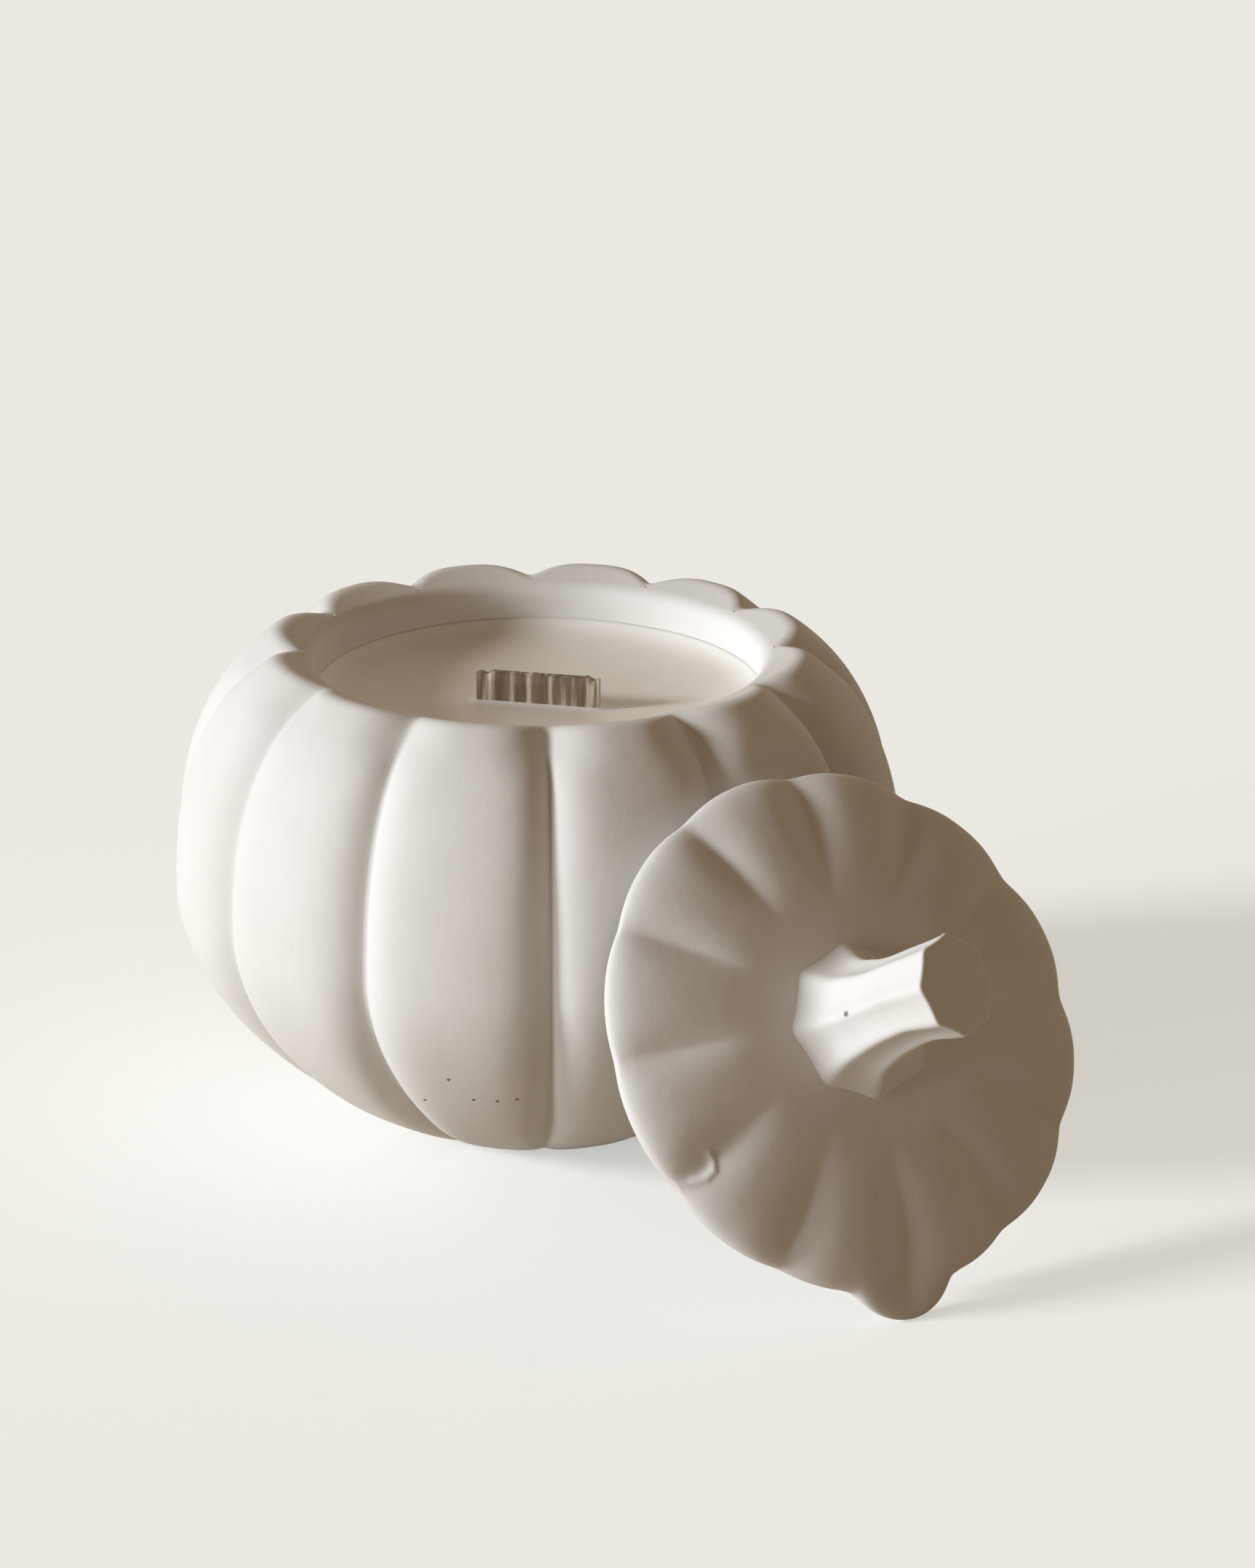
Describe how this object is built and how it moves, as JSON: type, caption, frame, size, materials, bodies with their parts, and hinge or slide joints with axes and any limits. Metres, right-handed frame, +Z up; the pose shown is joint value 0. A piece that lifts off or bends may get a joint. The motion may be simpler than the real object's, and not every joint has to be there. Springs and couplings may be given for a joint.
{
  "type": "lidded pumpkin candle pot",
  "caption": "Ribbed ceramic pumpkin candle pot with wax and a wooden wick, and its fluted lid with a stem taken off and leaning on it.",
  "frame": {"origin": "centre of the pot's flat foot, on the surface it stands on", "axes": "+Z up along the pot's axis, +X from the pot's axis towards the middle of the leaning lid"},
  "size_m": [0.1867, 0.1304, 0.0874],
  "materials": {
    "bisque": "unglazed, fine matt bisque, warm white",
    "wax": "smooth cream candle wax",
    "wick_wood": "thin dark wood strip",
    "clip_steel": "tinned sheet",
    "sticker_paper": "adhesive foam paper"
  },
  "bodies": {
    "pot_body": {"pot": "bisque", "wax_fill": "wax", "wooden_wick": "wick_wood", "wick_clip": "clip_steel", "wick_sticker": "sticker_paper"},
    "lid_body": {"lid": "bisque", "stem": "bisque"}
  },
  "joints": [
    {"name": "lid_lift", "type": "slide", "parent": "pot_body", "child": "lid_body", "axis": [0, 0, 1], "range_m": [0, 0.12]}
  ]
}
